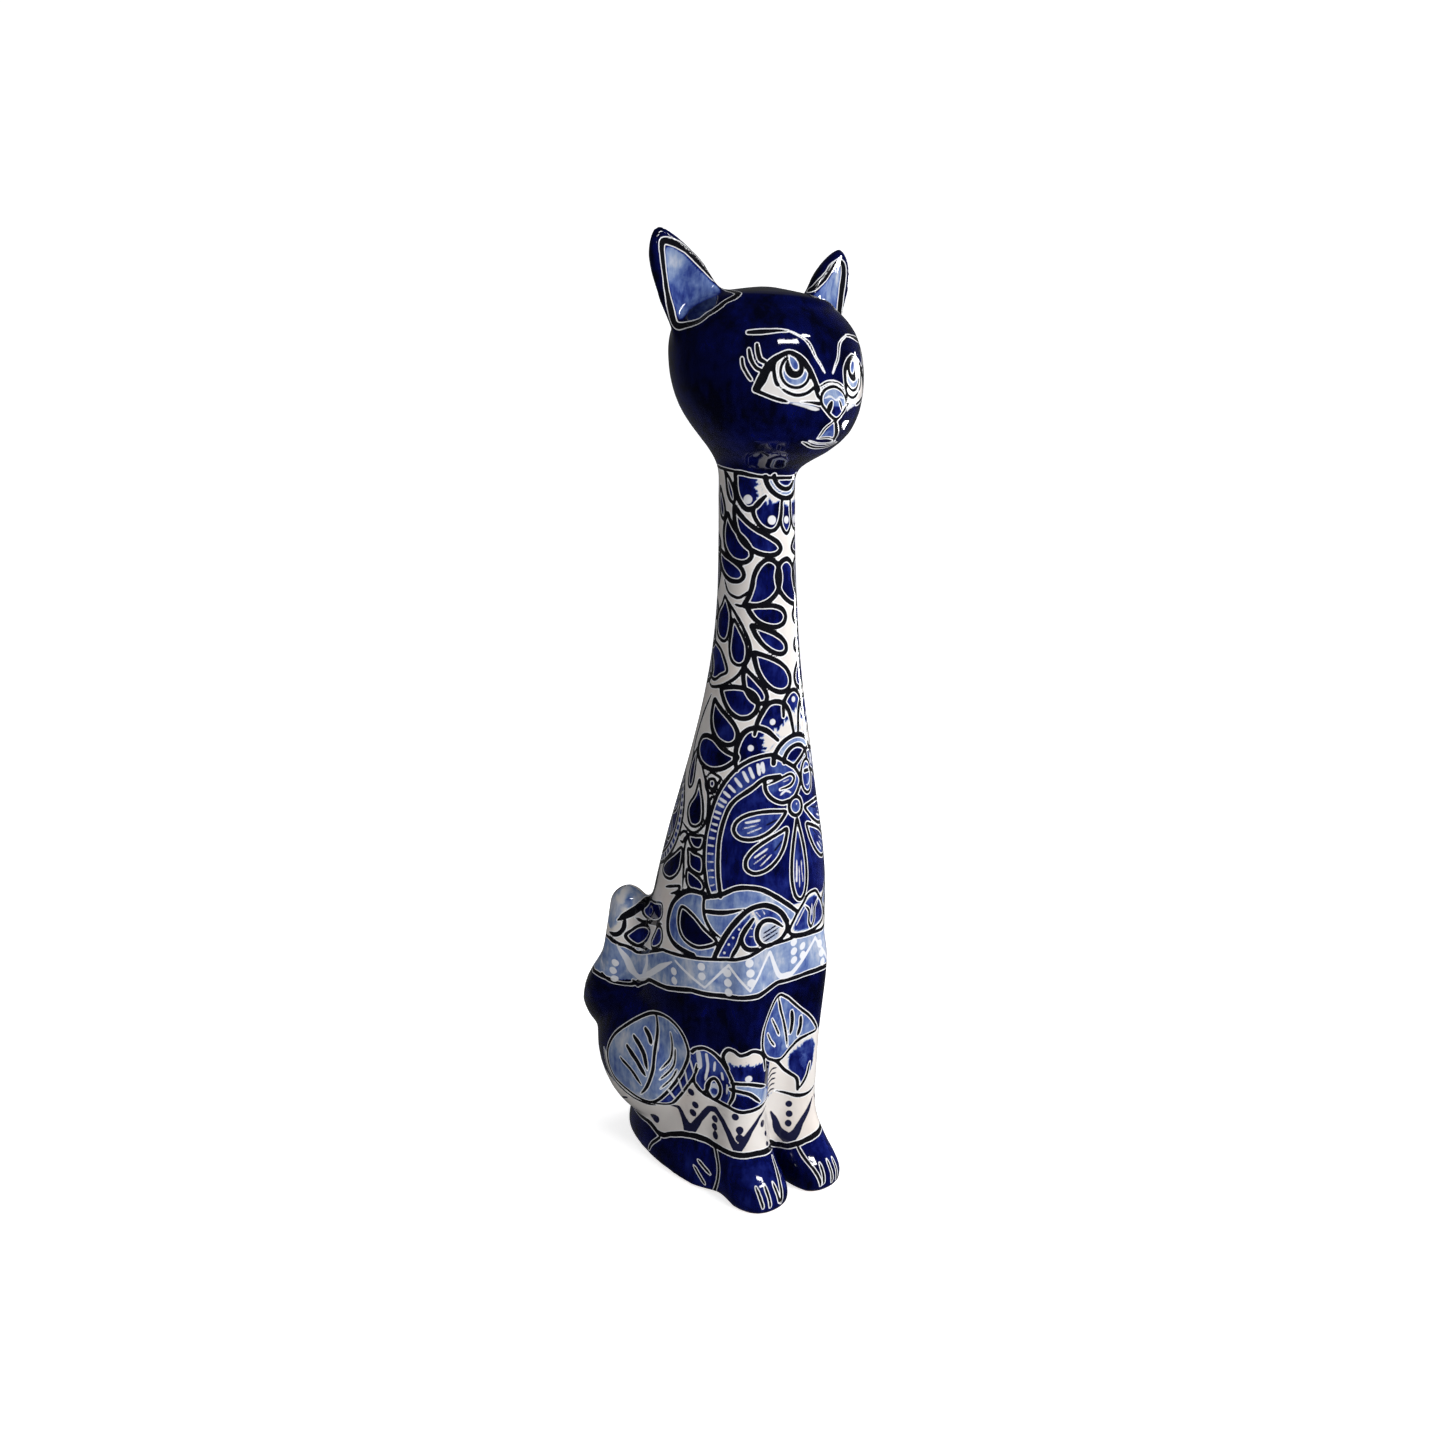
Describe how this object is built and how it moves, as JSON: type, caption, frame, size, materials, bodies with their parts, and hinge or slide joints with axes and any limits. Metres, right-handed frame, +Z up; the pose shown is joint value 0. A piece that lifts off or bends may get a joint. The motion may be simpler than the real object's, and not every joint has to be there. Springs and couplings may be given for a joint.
{
  "type": "talavera pottery cat figurine",
  "caption": "Tall seated cat figurine with a long neck, in glazed earthenware painted all over with floral bands in blue and white.",
  "frame": {"origin": "on the table, under the axis of the neck, on the underside of the floor slab", "axes": "+Z up; the cat faces -Y, so its right side is -X and its tail tip stands on -X"},
  "size_m": [0.124, 0.1639, 0.5102],
  "materials": {
    "white_glaze": "gloss",
    "cobalt_glaze": "gloss",
    "pale_blue_glaze": "gloss",
    "bare_clay": "matte"
  },
  "bodies": {
    "root": {"body_shell": "white_glaze", "head_shell": "cobalt_glaze", "ear_right": "cobalt_glaze", "ear_left": "cobalt_glaze", "front_leg_right": "cobalt_glaze", "front_leg_left": "cobalt_glaze", "hind_leg_right": "cobalt_glaze", "hind_leg_left": "cobalt_glaze", "tail": "pale_blue_glaze", "floor_slab": "bare_clay"}
  },
  "joints": []
}
